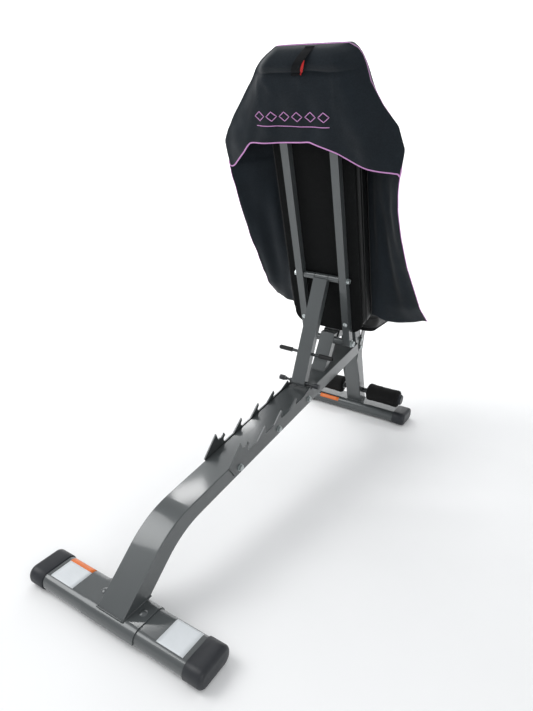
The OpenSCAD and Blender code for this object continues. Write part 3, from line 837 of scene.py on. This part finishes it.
def cover_folds(t, x, off, along):
    """How far the cloth stands off its plain form, in millimetres."""
    h = folded(t)
    s = 1 if t <= 3 else 2.3
    d = 0.0
    if h <= 1:
        # broad slack in the hood, with drag lines that fan from the shoulders to the hem
        fan = math.atan2(abs(x) - 60, 960 - along)
        d += 4.2 * math.sin(fan * 15 + s * 2) * smoothstep((FOLD_AT - 15 - along) / 120) * smoothstep(h * 2.2)
        d += 5.0 * wrinkle((x, off, along), 0.011, 3.1 * s) + 2.2 * wrinkle((x, off, along), 0.03, 6.1 * s)
        d *= 1 - 0.6 * smoothstep((along - 850) / 30)
        # two upright creases under the fold line, and crow's feet that start at its ends
        for crease, deep in ((-131, 1.6), (96, 1.4)):
            e = (x - crease - 0.03 * (860 - along)) / 6
            d += deep * math.exp(-e * e) * smoothstep((FOLD_AT - along) / 20) * smoothstep((along - 700) / 60)
        for cx, turn in ((-118, -0.9), (132, 0.85)):
            u = (x - cx) * math.cos(turn) + (along - 862) * math.sin(turn)
            v = -(x - cx) * math.sin(turn) + (along - 862) * math.cos(turn)
            d += 2.4 * math.exp(-(v / 9) ** 2) * math.exp(-((u - 30) / 34) ** 2)
    elif h <= 2:
        f = h - 1
        hang = smoothstep((640 - along) / 200)
        flutes = 5.5 * math.sin(f * 8.5 + along * 0.006 + s) + 3 * math.sin(f * 15 - along * 0.011 + s * 2)
        d += flutes * hang * math.sin(math.pi * min(1, f * 1.02)) ** 0.5
        d += 4 * wrinkle((x, off, along), 0.012, 5.3 * s) * math.sin(math.pi * f) ** 0.5
        d += 5 * math.sin(along * 0.021 + s) * (1 - f) ** 2 * hang * 0.6
    else:
        d += 1.2 * abs(wrinkle((x, off, along), 0.012, 9.7 * s))
    return d


def cape_bottom(t):
    """Height of the cape's lower hem, which rises at the pad's front corners."""
    f = min(2.0, max(1.0, folded(t))) - 1
    return interp(f, [(0, 36), (0.45, 36), (0.8, 42), (1.0, 74)])


def hem_height(t):
    """Height of the hood's arched hem on the rear panel."""
    side = 1 if t <= 3 else -1
    return interp(side * half_width(JOIN, side > 0) * folded(t), HEM)


def back_point(t, along):
    """A point on the finished cloth, folds and all, in metres."""
    x, off, a = cover_point(t, along)
    e = 0.02
    x1, o1, _ = cover_point(min(6, t + e), along)
    x0, o0, _ = cover_point(max(0, t - e), along)
    n = Vector((o1 - o0, -(x1 - x0)))
    n = n.normalized() if n.length > 1e-9 else Vector((0, -1))
    d = cover_folds(t, x, off, a)
    if t <= 1 or t >= 5:
        d = max(d, -2.0)
    return on_back(x + n.x * d, off + n.y * d, a)


def build_cover():
    """The whole cover as one sheet: open columns of rows, closed at the top."""
    ts = [k / N_REAR for k in range(N_REAR + 1)]
    ts += [1 + k / N_WING for k in range(1, N_WING + 1)]
    ts += [2 + k / N_FRONT for k in range(1, N_FRONT + 1)]
    ts += [6 - t for t in reversed(ts[1:-1])]
    n = len(ts)
    verts, faces = [], []
    grid = {}

    def put(c, r, along):
        grid[c, r] = len(verts)
        verts.append(back_point(ts[c], along))

    for c, t in enumerate(ts):
        on_rear = t < 1 or t > 5
        low = hem_height(t) if on_rear else JOIN
        for r in range(ROWS_HOOD + 1):
            rise = 1 - (1 - r / ROWS_HOOD) ** 1.25
            put(c, ROWS_CAPE + r, low + (COVER_TOP - low) * rise)
        if not on_rear:
            bottom = cape_bottom(t)
            for r in range(ROWS_CAPE):
                put(c, r, bottom + (JOIN - bottom) * r / ROWS_CAPE)
    for c in range(n):
        d = (c + 1) % n
        for r in range(TOP_ROW):
            corners = [(c, r), (d, r), (d, r + 1), (c, r + 1)]
            if all(k in grid for k in corners):
                faces.append(tuple(grid[k] for k in corners))
    top = {grid[c, TOP_ROW] for c in range(n)}
    o = add_mesh("cover_cloth", verts, faces, M["cover"])
    bm = bmesh.new()
    bm.from_mesh(o.data)
    edges = [e for e in bm.edges if e.is_boundary and all(v.index in top for v in e.verts)]
    filled = bmesh.ops.holes_fill(bm, edges=edges, sides=0)["faces"]
    bmesh.ops.triangulate(bm, faces=filled)
    bmesh.ops.recalc_face_normals(bm, faces=bm.faces)
    bm.to_mesh(o.data)
    bm.free()
    return o, ts, grid, verts


cover, TS, GRID, COVER_VERTS = build_cover()
sub = cover.modifiers.new("smooth", "SUBSURF")
sub.levels = sub.render_levels = 1
sol = cover.modifiers.new("thick", "SOLIDIFY")
sol.thickness = 0.0016
sol.offset = 0
apply_modifiers(cover)
cover.data.shade_smooth()
place(cover, "back", "cover_cloth", "cover")


def columns_at(cols, rows):
    """The cover's own grid points, for piping that lies on them."""
    return [COVER_VERTS[GRID[c, r]] for c in cols for r in rows]


def smooth_path(pts, rounds=2):
    for _ in range(rounds):
        out = [pts[0]]
        for a, b in zip(pts, pts[1:]):
            out += [a.lerp(b, 0.25), a.lerp(b, 0.75)]
        out.append(pts[-1])
        pts = out
    return pts


SEAM_STEPS = 60


def side_seam(edge, inset):
    """Points up one side seam of the hood, which leaves the cover's edge over its first fifth."""
    heights = [JOIN + 3 + (COVER_TOP - JOIN - 6) * k / SEAM_STEPS for k in range(SEAM_STEPS + 1)]
    return [back_point(edge + inset * smoothstep(k / 12), a) for k, a in enumerate(heights)]


edge_right, edge_left = TS.index(1.0), TS.index(5.0)
rear_cols = [*range(edge_left, len(TS)), *range(edge_right + 1)]
hem = smooth_path(columns_at(rear_cols, [ROWS_CAPE]))
seam_right, seam_left = side_seam(1, 0.10), side_seam(5, -0.12)[::-1]
ridge = [seam_right[-1].lerp(seam_left[0], k / 24) + ALONG * 0.0032 for k in range(1, 24)]
pipes = [sweep("cover_hem_piping", hem, 0.0021, M["piping"], 8),
         sweep("cover_seam_piping", smooth_path(seam_right + ridge + seam_left, 1), 0.0020, M["piping"], 8)]
for side, c in (("right", edge_right), ("left", edge_left)):
    edge = smooth_path(columns_at([c], range(ROWS_CAPE + 1)))
    pipes.append(sweep("cover_edge_piping_" + side, edge, 0.0011, M["piping"], 8))
for pipe in pipes:
    place(pipe, "back", "cover_cloth")


# ---------------------------------------------------------------- hanging loop and stitched motif
def strip(name, sections, material, sharp):
    """A closed strip through sections of four corners each."""
    last = 4 * len(sections) - 4
    faces = bands(len(sections), 4) + [(3, 2, 1, 0), (last, last + 1, last + 2, last + 3)]
    verts = [corner for section in sections for corner in section]
    return face_outward(add_mesh(name, verts, faces, material, True, sharp))


def across_rear(x, along):
    """How far x lies from the rear centre towards the edge on its side, from 0 to 1."""
    return abs(x) / half_width(along, x > 0)


def on_rear_panel(x, along, lift):
    """A point on the rear panel's cloth, lifted off it by some metres."""
    h = across_rear(x, along)
    return back_point(h if x >= 0 else 6 - h, along) - OFF * lift


def off_of_cover(x, along):
    """How far back the cover's rear face lies at a point, in millimetres."""
    along = min(along, COVER_TOP - 1)
    return cover_point(across_rear(x, along), along)[1]


# The strap hangs over the roll, turns at its lowest point and goes back up to the cloth
STRAP_WIDTH, STRAP_THICK, STRAP_TILT = 25, 1.3, 0.8
STRAP_STEPS = 24
outer = []
for k in range(STRAP_STEPS + 1):
    t = k / STRAP_STEPS
    x, a = 33 - 38 * t, 918 - 57 * t
    outer.append((x, off_of_cover(x, a) - 2.5 - 8 * math.sin(t * math.pi * 0.86), a))
low_x, low_off, low_a = outer[-1]
turn = []
for k in range(1, 9):
    angle = k * math.pi / 8
    turn.append((low_x + 2.5 * k / 8, low_off + 3 * (1 - math.cos(angle)) / 2, low_a - 4.5 * math.sin(angle)))
back_leg = [(low_x + 2.5 + 12 * k / 10, low_off + 3 + 0.1 * k, low_a + 3 * k) for k in range(1, 11)]
sections = []
for x, off, a in outer + turn + back_leg:
    corners = ((-1, 0), (1, 0), (1, STRAP_THICK), (-1, STRAP_THICK))
    sections.append([on_back(x + s * STRAP_WIDTH / 2, off - deep + STRAP_TILT * s, a) for s, deep in corners])
place(strip("cover_loop_strap", sections, M["web"], 40), "back", "loop_webbing", "cover_loop")

# The lining shows as a lens at the loop's open side, bound by a cord
side_path = [(x + 11.5, off + 1.2, a) for x, off, a in outer[10:]]
side_path.append((low_x + 13.5, low_off + 1.2, low_a - 3))
steps = len(side_path)
widths = [1 + 7.5 * math.sin(math.pi * (k + 0.6) / (steps + 0.2)) ** 0.8 for k in range(steps)]
sections = []
for (x, off, a), w in zip(side_path, widths):
    corners = ((0, 0), (w, 1.0), (w, -1.2), (0, -1.2))
    sections.append([on_back(x + across, off + deep, a) for across, deep in corners])
place(strip("cover_loop_lining", sections, M["red"], 50), "back", "loop_webbing")
binding = [on_back(x + w + 0.6, off + 0.4, a) for (x, off, a), w in zip(side_path, widths)]
place(sweep("cover_loop_binding", smooth_path(binding, 1), 0.0011, M["web"], 8), "back", "loop_webbing")

# A plain row of stitched diamonds over a line
MOTIF_RADIUS = 0.0011
for k in range(6):
    diamond = []
    for c in range(16):
        a = c * math.tau / 16
        r = 1 / (abs(math.cos(a)) + abs(math.sin(a)))
        diamond.append(on_rear_panel(38 * k - 128 + 15 * r * math.cos(a), 757 + 12 * r * math.sin(a), 0.0014))
    place(sweep(f"cover_motif_{k}", diamond, MOTIF_RADIUS, M["piping"], 6, True), "back", "cover_cloth")
line = [on_rear_panel(5.4 * k - 140, 732, 0.0012) for k in range(41)]
place(sweep("cover_motif_line", line, MOTIF_RADIUS, M["piping"], 6), "back", "cover_cloth")

# ---------------------------------------------------------------- stage, light and camera
def backdrop():
    """Floor that curves up into a wall well beyond the object, on the side the camera faces."""
    facing = Vector((-0.51, 0.86, 0))
    side = Vector((0.86, 0.51, 0))
    curve_at, curve_r = 4.0, 1.6
    line = [(-14, 0.0)] + [(3.2 + 0.8 * k / 4, 0.0) for k in range(5)]
    for degrees in range(6, 91, 6):
        a = math.radians(degrees)
        line.append((curve_at + curve_r * math.sin(a), curve_r - curve_r * math.cos(a)))
    line.append((curve_at + curve_r, 6.0))
    verts, faces = [], []
    for s, z in line:
        for w in (-16, 16):
            verts.append(facing * s + side * w + Vector((0, 0, z - 0.0005)))
    for i in range(len(line) - 1):
        faces.append((2 * i, 2 * i + 1, 2 * i + 3, 2 * i + 2))
    return add_mesh("backdrop", verts, faces, M["paper"])


backdrop()

world = bpy.data.worlds.new("studio")
bpy.context.scene.world = world
world.use_nodes = True
bg = world.node_tree.nodes["Background"]
bg.inputs[0].default_value = (0.96, 0.98, 1, 1)
bg.inputs[1].default_value = 0.70


def area(name, at, look, size, power, size_y=None):
    """An area light in watts, square unless size_y is given."""
    light = bpy.data.lights.new(name, "AREA")
    light.energy = power
    light.size = size
    if size_y:
        light.shape = "RECTANGLE"
        light.size_y = size_y
    o = bpy.data.objects.new(name, light)
    bpy.context.scene.collection.objects.link(o)
    o.location = at
    o.rotation_euler = (Vector(look) - Vector(at)).to_track_quat("-Z", "Y").to_euler()


area("key", (-2.4, -1.6, 3.1), (0, 0, 0.4), 2.2, 66)
area("fill", (3.0, -2.4, 2.0), (0, 0, 0.5), 2.0, 26)
area("wall", (-1.6, 2.0, 3.6), (-3.2, 4.6, 1.0), 2.4, 150)
area("window_low", (-1.34, 0.73, 2.10), (0, -0.44, 0.2), 0.24, 1.5, 0.13)
area("window_high", (-1.5, 1.55, 2.15), (0, -0.08, 0.27), 0.30, 2.0, 0.17)

CAMERA_AT = (0.7445, -1.3496, 1.0400)
YAW, PITCH, ROLL = 30.616, 21.114, 2.87
SENSOR_MM, FOCAL_PIXELS, IMAGE_HEIGHT = 36, 547.62, 711
cam_data = bpy.data.cameras.new("camera")
cam = bpy.data.objects.new("camera", cam_data)
bpy.context.scene.collection.objects.link(cam)
yaw, pitch, roll = (math.radians(v) for v in (YAW, PITCH, ROLL))
fwd = Vector((-math.sin(yaw) * math.cos(pitch), math.cos(yaw) * math.cos(pitch), -math.sin(pitch)))
right0 = Vector((math.cos(yaw), math.sin(yaw), 0))
up0 = right0.cross(fwd)
right = right0 * math.cos(roll) + up0 * math.sin(roll)
up = up0 * math.cos(roll) - right0 * math.sin(roll)
cam.matrix_world = Matrix([(right[i], up[i], -fwd[i], CAMERA_AT[i]) for i in range(3)] + [(0, 0, 0, 1)])
cam_data.sensor_fit = "AUTO"
cam_data.sensor_width = SENSOR_MM
cam_data.lens = FOCAL_PIXELS * SENSOR_MM / IMAGE_HEIGHT
cam_data.clip_end = 60
bpy.context.scene.camera = cam
bpy.context.scene.view_settings.view_transform = "Standard"
